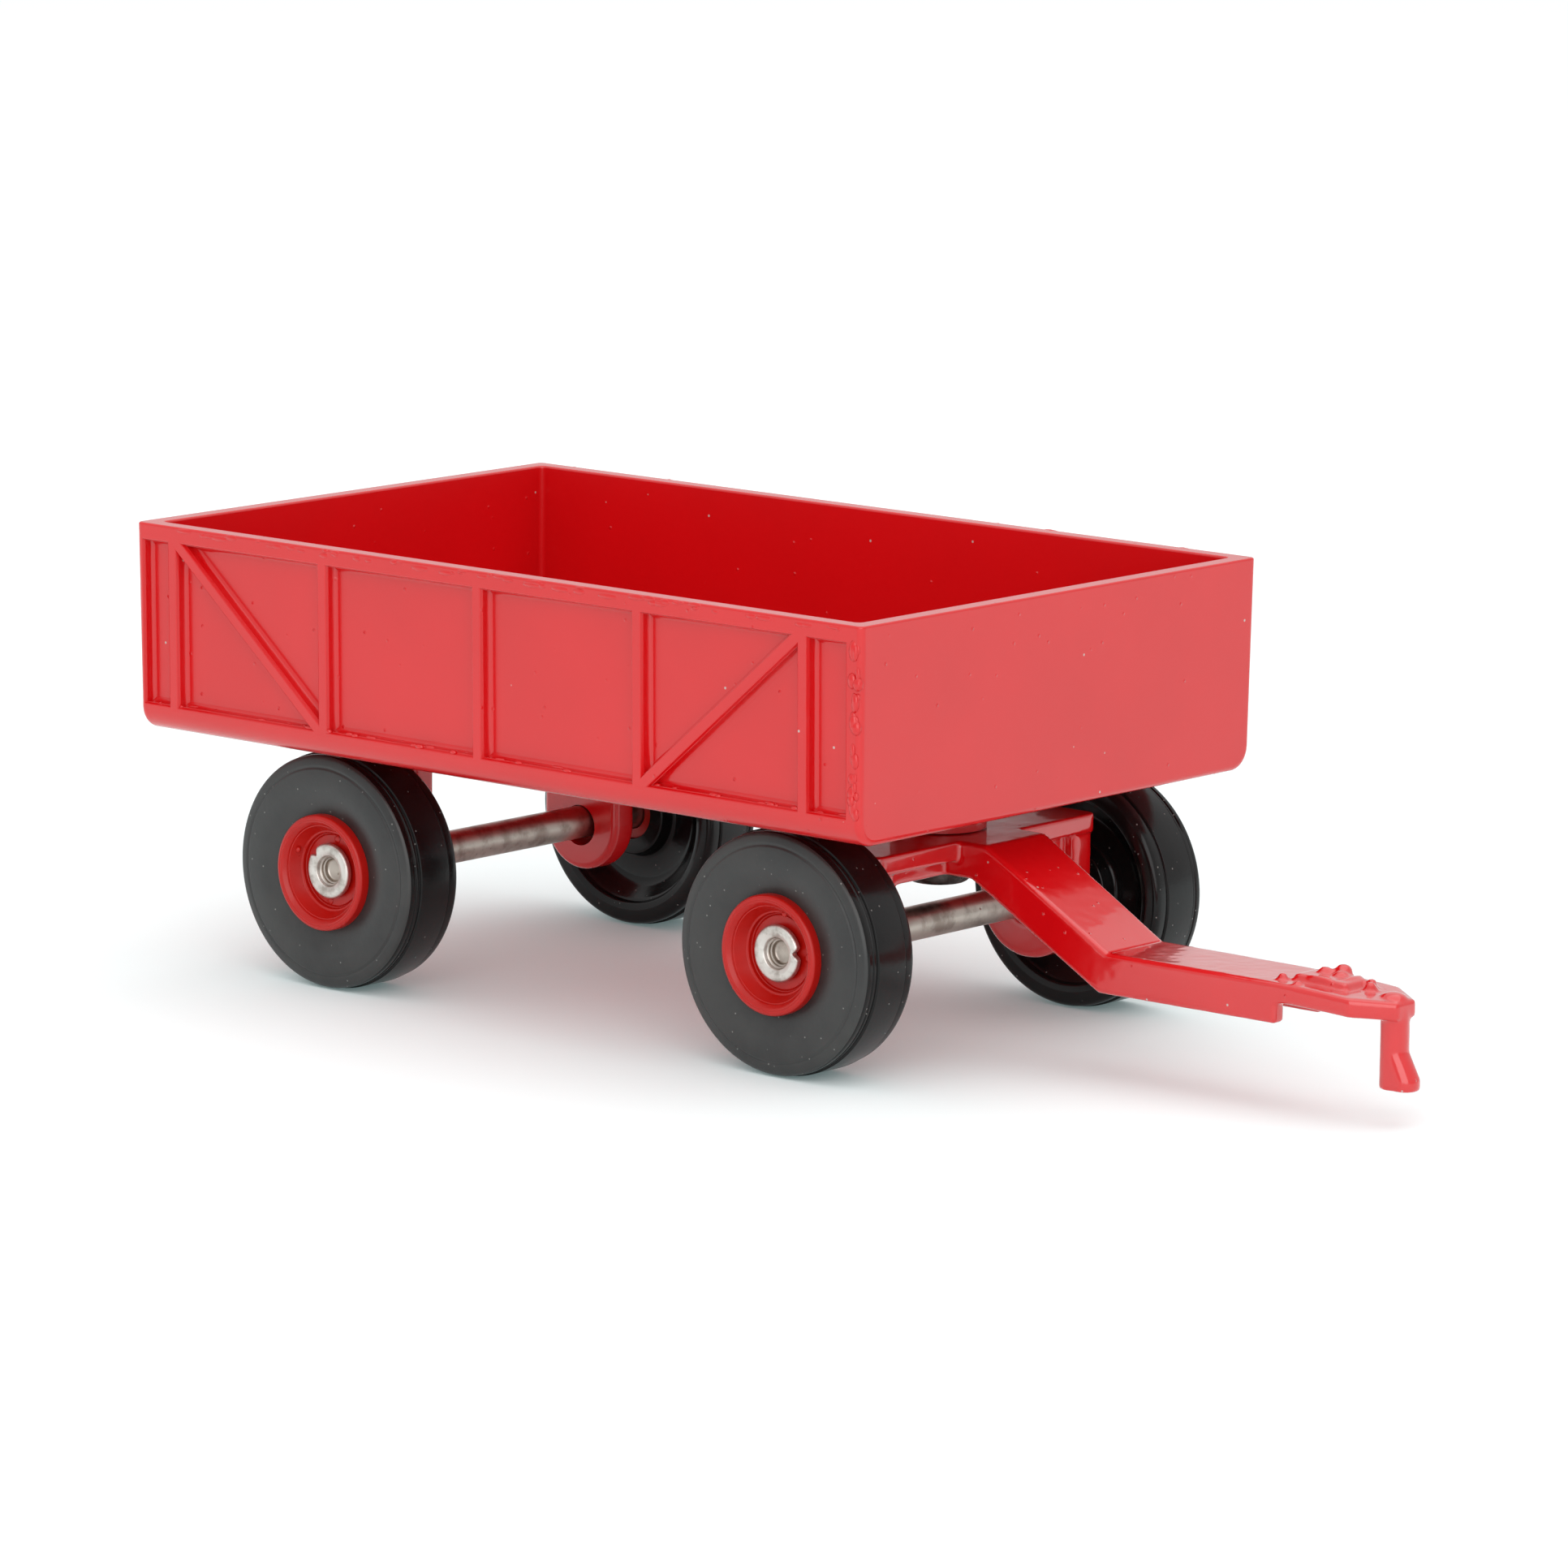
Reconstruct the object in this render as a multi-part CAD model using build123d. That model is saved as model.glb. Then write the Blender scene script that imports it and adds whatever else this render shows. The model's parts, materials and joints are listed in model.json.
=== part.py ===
from build123d import *
from math import atan2, cos, degrees, radians, sin
import os

# A die-cast toy farm wagon: an open box on two axles, steered by its drawbar.
# Millimetres. +X is forward to the hitch, +Y is the wagon's left, +Z is up.
# The origin is on the ground, under the middle of the whole wagon.

# Box
box_length = 65.0
box_width = 40.8
box_height = 14.35
wall = 1.3
floor_thickness = 1.3
wall_draft = 0.7
long_edge_radius = 1.6
corner_radius = 0.45
cavity_corner_radius = 0.4
rim_radius = 0.15

# Cast framing on both long sides
panel_recess = 0.8
top_rail = 1.2
bottom_rail = 1.9
rear_post = 0.65
front_post = 1.4
rib_width = 0.9
rib_count = 5
first_rib_gap = 2.3
last_rib_gap = 3.15
recess_radius = 0.3
rib_draft = 6
# A rounded frame edge, as two facets: how deep each starts and its flare
edge_facets = ((0.22, 25), (0.08, 62))

# Axles, each a rod drilled at both ends, which are rolled outwards over the hubs
rear_axle_x = 14.1
wheelbase = 40.5
axle_diameter = 2.3
flare_diameter = 3.8
flare_thickness = 0.5
flare_back_round = 0.12
flare_face_round = 0.25
axle_hole_diameter = 1.7
axle_hole_depth = 1.3
axle_hole_round = 0.3
running_clearance = 0.1
end_float = 0.1
# Play from lug to tyre with an axle centred, and how far left each axle has slid
front_play = 1.3
front_slide = 0.75
rear_play = 1.6
rear_slide = 1.2

# Lugs that carry the axles, and their loose holes
lug_inner_face = 9.2
lug_thickness = 2.1
rear_lug_radius = 3.4
front_lug_radius = 4.1
lug_hole_slack = 0.6
lug_edge_radius = 0.45

# Tyres, in places from their inboard face outwards
wheel_diameter = 16.3
tyre_width = 5.1
tread_inset = 1.1
tread_width = 2.65
groove_depth = 0.3
groove_width = 0.2
shoulder_step = 0.12
shoulder_radius = 0.55
sidewall_peak = 5.7
sidewall_shoulder_drop = 0.12
sidewall_seat_width = 0.4
sidewall_seat_drop = 0.3
sidewall_round = 2.0
tyre_dish_depth = 1.6
tyre_dish_round = 0.7
tyre_lip_width = 1.35
tyre_lip_round = 0.4
tyre_boss_width = 1.1
tyre_boss_set_in = 0.4
tyre_boss_round = 0.2

# Hubs, pressed into the tyres
hub_rim_radius = 4.0
hub_rim_proud = 0.35
hub_rim_width = 0.95
hub_rim_round = 0.28
hub_rim_overlap = 0.45
hub_seat_depth = 0.45
hub_cup_depth = 1.7
hub_recess = 1.15
hub_recess_taper = 0.15
hub_spigot_wall = 0.7
hub_spigot_set_in = 0.6

# Bolster, which turns under the box on a round boss
floor_gap = 0.55
turntable_radius = 3.2
turntable_height = 2.45
turntable_gap = 0.1
bolster_half_length = 4.4
bolster_flange = 1.25
bolster_corner_radius = 0.6
bolster_web_set_back = 1.2
bolster_web = 1.15
arch_radius = 1.6

# Tongue, in x from the kingpin
tongue_width = 6.4
tongue_end_width = 5.6
tongue_thickness = 2.7
tongue_slope_start = 6.6
tongue_crease = 16.7
tongue_step = 30.3
tongue_tip = 38.6
tongue_tip_width = 1.9
tongue_above_axle = 0.35
tongue_edge_radius = 0.25
hitch_plate = 1.3
hitch_plate_corner = 2.6
tongue_wall = 0.9
channel_start = 8.6

# Hitch peg, with a toe that keeps it in the tractor's hole
hitch_peg_diameter = 1.9
hitch_peg_reach = 37.7
hitch_peg_drop = 4.9
hitch_toe = 0.9
hitch_toe_height = 2.6
hitch_toe_sole = 0.8
hitch_toe_round = 0.2

# Cast boss and beads on the hitch plate
boss_forward = 2.3
boss_length = 4.2
boss_width = 2.6
boss_height = 0.45
boss_round = 0.25
bead_sink = 0.15
beads = ((-0.9, 0.5, 0.5), (0.5, 0.4, 0.65), (2.9, 0.3, 0.4))

# Kingpin rivet: domed head below, its rolled end in a pocket of the floor
kingpin_diameter = 2.4
kingpin_head_diameter = 4.6
kingpin_head_height = 1.2
kingpin_dome_round = 1.0
kingpin_clearance = 0.08
kingpin_roll_diameter = 3.8
kingpin_roll_height = 0.55
kingpin_roll_round = 0.25
kingpin_dimple_diameter = 1.2
kingpin_dimple_depth = 0.9
pocket_depth = 0.7
pocket_clearance = 0.25

# Slack for picking edges by place, and how far a cut runs past what it cuts
near = 0.01
overrun = 1.0

# Places worked out from the sizes
axle_radius = axle_diameter / 2
peg_radius = hitch_peg_diameter / 2
kingpin_radius = kingpin_diameter / 2
roll_radius = kingpin_roll_diameter / 2
front_axle_x = rear_axle_x + wheelbase
overall_length = front_axle_x + max(tongue_tip, hitch_peg_reach + peg_radius + hitch_toe)
rear_face = -overall_length / 2
rear_x = rear_face + rear_axle_x
front_x = rear_face + front_axle_x
axle_z = wheel_diameter / 2
box_bottom = wheel_diameter + floor_gap
box_top = box_bottom + box_height
box_middle = rear_face + box_length / 2
floor_top = box_bottom + floor_thickness
pocket_floor = floor_top - pocket_depth
bolster_top = box_bottom - turntable_height - turntable_gap
flange_bottom = bolster_top - bolster_flange
web_bottom = flange_bottom - bolster_web
lug_outer_face = lug_inner_face + lug_thickness
lug_hole_radius = (axle_diameter + lug_hole_slack) / 2
lug_hole_z = axle_z - lug_hole_slack / 2 + running_clearance / 2
hub_rim_face = tyre_width + hub_rim_proud
hub_seat_face = tyre_width - hub_seat_depth
hub_cup_back = hub_seat_face - hub_cup_depth
hub_base_face = hub_rim_face - hub_recess
hub_bore = axle_radius + running_clearance
hub_spigot_radius = hub_bore + hub_spigot_wall
hub_cup_radius = hub_rim_radius - hub_rim_overlap
hub_opening = hub_rim_radius - hub_rim_width
tongue_root = bolster_half_length - bolster_web_set_back
tongue_top = axle_z + tongue_above_axle
plate_low = tongue_top - hitch_plate
lowest = (Align.CENTER, Align.CENTER, Align.MIN)
highest = (Align.CENTER, Align.CENTER, Align.MAX)


def turned(plane, axis, outline):
    """A solid of revolution. The outline's points are (radius, place along the axis, corner radius)."""
    points = [(radius, place) for radius, place, _ in outline]
    rounds = [corner for _, _, corner in outline]
    line = FilletPolyline(*points, radius=rounds, close=True)
    return revolve(plane * make_face(line), axis, 360)


def turned_across(outline, centre_x, start, side):
    """A piece turned about an axle's line, on one side of the wagon; its places are from start outwards."""
    across = [(radius, side * (start + place), corner) for radius, place, corner in outline]
    return Pos(centre_x, 0, axle_z) * turned(Plane.XY, Axis.Y, across)


def axle_lug(centre_x, radius, top, side):
    """A flat lug with a round bottom, standing across the axle."""
    plane = Plane(origin=(centre_x, side * lug_inner_face, axle_z), x_dir=(1, 0, 0), z_dir=(0, -1, 0))
    height = top - axle_z
    profile = Circle(radius) + Pos(0, height / 2) * Rectangle(2 * radius, height)
    lug = extrude(plane * profile, amount=-side * lug_thickness)
    rim = [edge for edge in lug.edges() if edge.center().Z < top - near]
    flat = [edge for edge in rim if edge.bounding_box().size.Y < near]
    return fillet(flat, lug_edge_radius)


def lug_hole(centre_x):
    """The loose hole through both lugs of one axle, which bear on the top of the axle."""
    length = 2 * (lug_outer_face + overrun)
    return Pos(centre_x, 0, lug_hole_z) * Rot(90, 0, 0) * Cylinder(lug_hole_radius, length)


def rib_rear_edges():
    """Distances from the rear face to the rear edge of each rib."""
    first = rear_post + first_rib_gap
    last = box_length - front_post - last_rib_gap - rib_width
    step = (last - first) / (rib_count - 1)
    return [first + step * i for i in range(rib_count)]


def bay_sketches(side):
    """The open bays between rails, posts, ribs and braces, drawn from the top rear corner of one side."""
    ribs = rib_rear_edges()
    starts = [rear_post] + [edge + rib_width for edge in ribs]
    ends = ribs + [box_length - front_post]
    low = bottom_rail - box_height
    high = -top_rail
    falls = {1: -1, rib_count - 1: 1}
    faces = []
    for bay, (start, end) in enumerate(zip(starts, ends)):
        middle = Pos(-side * (start + end) / 2, (low + high) / 2)
        sketch = middle * Rectangle(end - start, high - low)
        if bay in falls:
            angle = degrees(atan2(falls[bay] * (high - low), -side * (end - start)))
            sketch -= middle * Rot(0, 0, angle) * Rectangle(2 * (end - start), rib_width)
        faces += sketch.faces()
    return faces


def side_panels(side):
    """The sunk panels of one long side, with drafted walls, a soft foot and a broken outer edge."""
    draft = radians(wall_draft)
    outwards = (0, side * cos(draft), -sin(draft))
    inwards = (0, -side * cos(draft), sin(draft))
    corner = (rear_face, side * box_width / 2, box_top)
    skin = Plane(origin=corner, x_dir=(-side, 0, 0), z_dir=outwards)
    panels = []
    for face in bay_sketches(side):
        pocket = extrude(skin * face, amount=panel_recess, dir=inwards, taper=rib_draft)
        foot = pocket.faces().sort_by(Axis((0, 0, 0), inwards))[-1]
        pocket = fillet(foot.edges(), recess_radius)
        for depth, flare in edge_facets:
            pocket += extrude(skin.offset(-depth) * face, amount=2 * depth, dir=outwards, taper=-flare)
        panels.append(pocket)
    return panels


def drafted_block(length, width, height):
    """A block hanging from the box's top plane, narrower at its foot by the draft."""
    outline = Plane.XY.offset(box_top) * Pos(box_middle, 0) * Rectangle(length, width)
    return extrude(outline, amount=height, dir=(0, 0, -1), taper=wall_draft)


def make_shell():
    shell = drafted_block(box_length, box_width, box_height)
    shell = fillet(shell.edges().filter_by(Axis.X).group_by(Axis.Z)[0], long_edge_radius)
    lower = [edge for edge in shell.edges() if edge.center().Z < box_top - near]
    ends = [edge for edge in lower if edge.bounding_box().size.X < box_length / 2]
    shell = fillet(ends, corner_radius)
    cavity = drafted_block(box_length - 2 * wall, box_width - 2 * wall, box_height - floor_thickness)
    sunk = [edge for edge in cavity.edges() if edge.center().Z < box_top - near]
    shell -= fillet(sunk, cavity_corner_radius)
    for side in (-1, 1):
        for panel in side_panels(side):
            shell -= panel
    rim = shell.edges().filter_by_position(Axis.Z, box_top - near, box_top + near)
    return fillet(rim, rim_radius)


def make_wagon_box():
    casting = make_shell()
    sunk_top = box_bottom + floor_thickness / 2
    boss = Cylinder(turntable_radius, turntable_height + floor_thickness / 2, align=highest)
    casting += Pos(front_x, 0, sunk_top) * boss
    for side in (-1, 1):
        casting += axle_lug(rear_x, rear_lug_radius, sunk_top, side)
    casting -= lug_hole(rear_x)
    casting -= Pos(front_x, 0, box_bottom) * Cylinder(kingpin_radius, 4 * turntable_height)
    pocket = Cylinder(roll_radius + pocket_clearance, pocket_depth + overrun, align=lowest)
    return casting - Pos(front_x, 0, pocket_floor) * pocket


def tongue_side():
    """The drawbar's side view, in x from the kingpin and height above the ground."""
    low = tongue_top - tongue_thickness
    slope = (bolster_top - tongue_top) / (tongue_crease - tongue_slope_start)
    upright = tongue_thickness * (1 + slope**2) ** 0.5
    lower_start = tongue_slope_start - (upright - (bolster_top - web_bottom)) / slope
    lower_crease = tongue_crease - (upright - tongue_thickness) / slope
    return [
        (tongue_root, bolster_top),
        (tongue_slope_start, bolster_top),
        (tongue_crease, tongue_top),
        (tongue_tip, tongue_top),
        (tongue_tip, plate_low),
        (tongue_step, plate_low),
        (tongue_step, low),
        (lower_crease, low),
        (lower_start, web_bottom),
        (tongue_root, web_bottom),
    ]


def tongue_plan():
    """The drawbar's top view: a long taper, with a blunt tip."""
    left = [
        (tongue_root, tongue_width / 2),
        (tongue_tip - hitch_plate_corner, tongue_end_width / 2),
        (tongue_tip, tongue_tip_width / 2),
    ]
    return left + [(x, -y) for x, y in reversed(left)]


def tongue_channel():
    """The hollow under the tongue, open below and at the step, which leaves a wall down each side."""
    slope = (bolster_top - tongue_top) / (tongue_crease - tongue_slope_start)
    upright = hitch_plate * (1 + slope**2) ** 0.5
    crease = tongue_crease - (upright - hitch_plate) / slope
    outline = [
        (channel_start, plate_low + slope * (crease - channel_start)),
        (crease, plate_low),
        (tongue_step + overrun, plate_low),
        (tongue_step + overrun, 0),
        (channel_start, 0),
    ]
    side = make_face(Polyline(*outline, close=True))
    return extrude(Plane.XZ * side, amount=tongue_end_width / 2 - tongue_wall, both=True)


def make_tongue():
    side = make_face(Polyline(*tongue_side(), close=True))
    side_view = extrude(Plane.XZ * side, amount=tongue_width, both=True)
    plan = make_face(Polyline(*tongue_plan(), close=True))
    tongue = side_view & extrude(plan, amount=box_bottom)
    free = [edge for edge in tongue.edges() if edge.center().X > tongue_root + near]
    return fillet(free, tongue_edge_radius) - tongue_channel()


def make_peg():
    """The peg that drops into the tractor's hitch, and its toe."""
    foot = plate_low - hitch_peg_drop
    peg = Cylinder(peg_radius, hitch_peg_drop + hitch_plate / 2, align=lowest)
    sole = Pos(hitch_toe / 2, 0) * SlotCenterToCenter(hitch_toe, hitch_peg_diameter)
    toe = extrude(sole, amount=hitch_toe_sole)
    toe = fillet(toe.edges().group_by(Axis.Z)[0], hitch_toe_round)
    ankle = Pos(0, 0, hitch_toe_height) * Circle(peg_radius)
    toe += loft([toe.faces().sort_by(Axis.Z)[-1], ankle.face()])
    return Pos(hitch_peg_reach, 0, foot) * (peg + toe)


def make_hitch_boss():
    boss = Box(boss_length, boss_width, 2 * boss_height)
    boss = fillet(boss.edges().group_by(Axis.Z)[-1] + boss.edges().filter_by(Axis.Z), boss_round)
    for forward, left, radius in beads:
        boss += Pos(forward, left, bead_sink) * Sphere(radius)
    return Pos(tongue_step + boss_forward, 0, tongue_top) * boss


def make_drawbar():
    flange = Box(2 * bolster_half_length, 2 * lug_outer_face, bolster_flange, align=highest)
    flange = fillet(flange.edges().filter_by(Axis.Z), bolster_corner_radius)
    web_height = bolster_web + bolster_flange / 2
    web = Box(2 * tongue_root, 2 * lug_inner_face + lug_thickness, web_height, align=lowest)
    drawbar = Pos(0, 0, bolster_top) * flange + Pos(0, 0, web_bottom) * web
    drawbar = Pos(front_x, 0, 0) * (drawbar + make_tongue() + make_peg() + make_hitch_boss())
    for side in (-1, 1):
        drawbar += axle_lug(front_x, front_lug_radius, flange_bottom + bolster_flange / 2, side)
    low = [edge for edge in drawbar.edges().filter_by(Axis.X) if abs(edge.center().Z - web_bottom) < near]
    arches = [edge for edge in low if abs(abs(edge.center().Y) - lug_inner_face) < near]
    drawbar = fillet(arches, arch_radius)
    drawbar -= lug_hole(front_x)
    bore = Cylinder(kingpin_radius + kingpin_clearance, 2 * (bolster_top - web_bottom))
    return drawbar - Pos(front_x, 0, (bolster_top + web_bottom) / 2) * bore


def make_kingpin():
    head_top = web_bottom - turntable_gap
    crown = head_top - kingpin_head_height
    head = kingpin_head_diameter / 2
    rolled = pocket_floor + kingpin_roll_height
    dimple = kingpin_dimple_diameter / 2
    outline = [
        (0, crown, 0),
        (head, crown, kingpin_dome_round),
        (head, head_top, 0),
        (kingpin_radius, head_top, 0),
        (kingpin_radius, pocket_floor, 0),
        (roll_radius, pocket_floor, 0),
        (roll_radius, rolled, kingpin_roll_round),
        (dimple, rolled, kingpin_roll_round),
        (dimple, rolled - kingpin_dimple_depth, 0),
        (0, rolled - kingpin_dimple_depth, 0),
    ]
    return Pos(front_x, 0, 0) * turned(Plane.XZ, Axis.Z, outline)


def make_axle(centre_x, wheel_start):
    flare = flare_diameter / 2
    back = wheel_start + hub_base_face + end_float
    end = back + flare_thickness
    hole = axle_hole_diameter / 2
    half = [
        (0, 0, 0),
        (axle_radius, 0, 0),
        (axle_radius, back, 0),
        (flare, back, flare_back_round),
        (flare, end, flare_face_round),
        (hole, end, axle_hole_round),
        (hole, end - axle_hole_depth, 0),
        (0, end - axle_hole_depth, 0),
    ]
    return turned_across(half, centre_x, 0, 1) + turned_across(half, centre_x, 0, -1)


def make_hub(centre_x, wheel_start, side):
    base_edge = hub_opening - hub_recess_taper
    outline = [
        (hub_bore, hub_spigot_set_in, 0),
        (hub_spigot_radius, hub_spigot_set_in, 0),
        (hub_spigot_radius, hub_cup_back, 0),
        (hub_cup_radius, hub_cup_back, 0),
        (hub_cup_radius, hub_seat_face, 0),
        (hub_rim_radius, hub_seat_face, 0),
        (hub_rim_radius, hub_rim_face, hub_rim_round),
        (hub_opening, hub_rim_face, hub_rim_round),
        (base_edge, hub_base_face, hub_rim_round),
        (hub_bore, hub_base_face, 0),
    ]
    return turned_across(outline, centre_x, wheel_start, side)


def make_tyre(centre_x, wheel_start, side):
    crown = wheel_diameter / 2
    band = crown - shoulder_step
    groove = crown - groove_depth
    tread_end = tread_inset + tread_width
    boss = hub_spigot_radius + tyre_boss_width
    outline = [
        (hub_spigot_radius, tyre_boss_set_in, 0),
        (boss, tyre_boss_set_in, tyre_boss_round),
        (boss, tyre_dish_depth, tyre_boss_round),
        (crown - 2 * tyre_lip_width, tyre_dish_depth, tyre_dish_round),
        (crown - tyre_lip_width, 0, tyre_lip_round),
        (band, 0, tyre_lip_round),
        (band, tread_inset - 2 * groove_width, 0),
        (groove, tread_inset - groove_width, groove_width / 2),
        (crown, tread_inset, 0),
        (crown, tread_end, 0),
        (groove, tread_end + groove_width, groove_width / 2),
        (band, tread_end + 2 * groove_width, 0),
        (band, tyre_width - sidewall_shoulder_drop, shoulder_radius),
        (sidewall_peak, tyre_width, sidewall_round),
        (hub_rim_radius + sidewall_seat_width, tyre_width - sidewall_seat_drop, 0),
        (hub_rim_radius, hub_seat_face, 0),
        (hub_cup_radius, hub_seat_face, 0),
        (hub_cup_radius, hub_cup_back, 0),
        (hub_spigot_radius, hub_cup_back, 0),
    ]
    return turned_across(outline, centre_x, wheel_start, side)


axle_sets = (
    ("front", front_x, front_play, front_slide),
    ("rear", rear_x, rear_play, rear_slide),
)
os.makedirs("parts", exist_ok=True)
nodes = {
    "wagon_box": make_wagon_box(),
    "drawbar": make_drawbar(),
    "kingpin": make_kingpin(),
}
for end, centre_x, play, slide in axle_sets:
    wheel_start = lug_outer_face + play
    nodes[f"{end}_axle"] = Pos(0, slide, 0) * make_axle(centre_x, wheel_start)
    for hand, side in (("left", 1), ("right", -1)):
        nodes[f"{end}_{hand}_tyre"] = Pos(0, slide, 0) * make_tyre(centre_x, wheel_start, side)
        nodes[f"{end}_{hand}_hub"] = Pos(0, slide, 0) * make_hub(centre_x, wheel_start, side)
for name, solid in nodes.items():
    solid.label = name
    export_step(solid, f"parts/{name}.step")
    print(name, "volume", round(solid.volume, 1), "solids", len(solid.solids()))
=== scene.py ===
import json
import random
from math import acos, atan2, cos, pi, radians, sin, tan
import bmesh
import bpy
from mathutils import Matrix, Vector, noise


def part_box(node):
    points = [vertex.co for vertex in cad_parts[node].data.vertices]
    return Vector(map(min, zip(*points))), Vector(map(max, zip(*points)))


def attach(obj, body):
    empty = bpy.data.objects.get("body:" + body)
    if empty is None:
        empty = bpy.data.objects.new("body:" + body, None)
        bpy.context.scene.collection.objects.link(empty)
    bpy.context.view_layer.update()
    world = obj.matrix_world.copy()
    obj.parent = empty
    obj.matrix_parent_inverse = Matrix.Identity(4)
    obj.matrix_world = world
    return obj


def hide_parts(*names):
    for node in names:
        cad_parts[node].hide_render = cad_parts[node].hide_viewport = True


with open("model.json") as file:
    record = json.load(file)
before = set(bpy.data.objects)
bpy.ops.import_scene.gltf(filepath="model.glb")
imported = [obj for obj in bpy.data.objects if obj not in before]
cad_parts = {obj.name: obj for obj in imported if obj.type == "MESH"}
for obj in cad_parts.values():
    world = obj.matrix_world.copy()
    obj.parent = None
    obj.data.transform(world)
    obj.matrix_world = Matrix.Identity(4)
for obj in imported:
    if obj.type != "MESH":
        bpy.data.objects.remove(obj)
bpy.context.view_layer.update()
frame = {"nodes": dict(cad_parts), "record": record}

mm = 0.001
nodes = frame["nodes"]
bodyOf = {node: body for body, names in frame["record"]["behaviour"]["bodies"].items() for node in names}
wheelNames = [f"{end}_{hand}" for end in ("front", "rear") for hand in ("left", "right")]


# Helpers

def hexColour(text):
    channels = [int(text[i:i + 2], 16) / 255 for i in (1, 3, 5)]
    return tuple(c / 12.92 if c <= 0.04045 else ((c + 0.055) / 1.055) ** 2.4 for c in channels) + (1,)


def addNode(tree, kind, settings={}, values={}, links={}):
    node = tree.nodes.new(kind)
    for name, value in settings.items():
        setattr(node, name, value)
    for socket, value in values.items():
        node.inputs[socket].default_value = value
    for socket, source in links.items():
        tree.links.new(source, node.inputs[socket])
    return node


def emptyMaterial(name):
    material = bpy.data.materials.new(name)
    material.use_nodes = True
    material.node_tree.nodes.clear()
    return material, material.node_tree


def perMillimetre(size):
    return 1 / (size * mm)  # a pattern's scale from the real size of its grain


def outlinePoints(corners):
    # corners are (radius, place, corner radius) in mm, each turned into an arc of a few points
    points = []
    count = len(corners)
    for i, (radius, place, roundness) in enumerate(corners):
        here = Vector((radius, place))
        if not roundness:
            points.append(here)
            continue
        before = (Vector(corners[i - 1][:2]) - here).normalized()
        after = (Vector(corners[(i + 1) % count][:2]) - here).normalized()
        angle = acos(max(-1, min(1, before.dot(after))))
        reach = roundness / tan(angle / 2)
        middle = here + (before + after).normalized() * (roundness / sin(angle / 2))
        start = here + before * reach - middle
        end = here + after * reach - middle
        steps = max(2, round((pi - angle) / radians(15)))
        for step in range(steps + 1):
            points.append(middle + start.slerp(end, step / steps) * roundness)  # slerp gives a unit vector
    return points


def turnedMesh(corners, centre, axis, steps):
    # the outline stands in the plane of +X and the axis, and is spun round the axis
    bm = bmesh.new()
    centre = Vector(centre)
    along = Vector(axis)
    points = outlinePoints(corners)
    verts = [bm.verts.new(centre + Vector((p.x, 0, 0)) * mm + along * p.y * mm) for p in points]
    edges = [bm.edges.new((verts[i - 1], verts[i])) for i in range(len(verts))]
    bmesh.ops.spin(bm, geom=verts + edges, cent=centre, axis=axis, angle=2 * pi, steps=steps, use_merge=True)
    bmesh.ops.remove_doubles(bm, verts=bm.verts[:], dist=0.002 * mm)
    flat = [face for face in bm.faces if face.calc_area() < 1e-14]
    bmesh.ops.delete(bm, geom=flat, context="FACES")
    bmesh.ops.recalc_face_normals(bm, faces=bm.faces[:])
    return bm


def addBlob(bm, centre, size, turn=0):
    # a small flattened drop, with its centre in metres and its three radii in mm
    radii = Matrix.Diagonal((*(reach * mm for reach in size), 1))
    shape = Matrix.Translation(centre) @ Matrix.Rotation(turn, 4, "Z") @ radii
    bmesh.ops.create_icosphere(bm, subdivisions=2, radius=1, matrix=shape)


def makePiece(name, bm, materials, body, replaced=(), sharp=35):
    mesh = bpy.data.meshes.new(name)
    bm.to_mesh(mesh)
    bm.free()
    for material in materials:
        mesh.materials.append(material)
    mesh.shade_smooth()
    if sharp:
        mesh.set_sharp_from_angle(angle=radians(sharp))
    piece = bpy.data.objects.new(name, mesh)
    bpy.context.scene.collection.objects.link(piece)
    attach(piece, body)
    if replaced:
        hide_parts(*replaced)
    return piece


# Enamel of the two castings, with sizes in mm

boxEnamel = {
    "name": "dippedRedEnamelOnZinc",
    "colour": "#CB080F",
    "deepColour": "#C5060C",
    "roughness": (0.22, 0.28),
    "specular": 0.5,
    "coat": 0.35,
    "coatRoughness": 0.07,
    "peelSize": 1.6,
    "peelHeight": 0.005,
    "cloudSize": 9.0,
    "cloudRange": (0.2, 0.8),
    "nibSpacing": 1.7,
    "nibRadius": 0.16,
    "nibHeight": 0.05,
    "chipColour": "#B9A9A4",
    "chipSpacing": 2.7,
    "chipRadius": 0.11,
}
drawbarEnamel = dict(
    boxEnamel,
    name="dippedRedEnamelOnDrawbar",
    coat=0.9,
    peelSize=1.4,
    peelHeight=0.006,
    nibSpacing=1.2,
    nibRadius=0.14,
    chipSpacing=2.0,
    roughness=(0.14, 0.24),
    rubbedAbove=14.2,
    rubbedFade=0.2,
    rubbedRoughness=0.6,
    rubbedSpecular=0.1,
)


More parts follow.
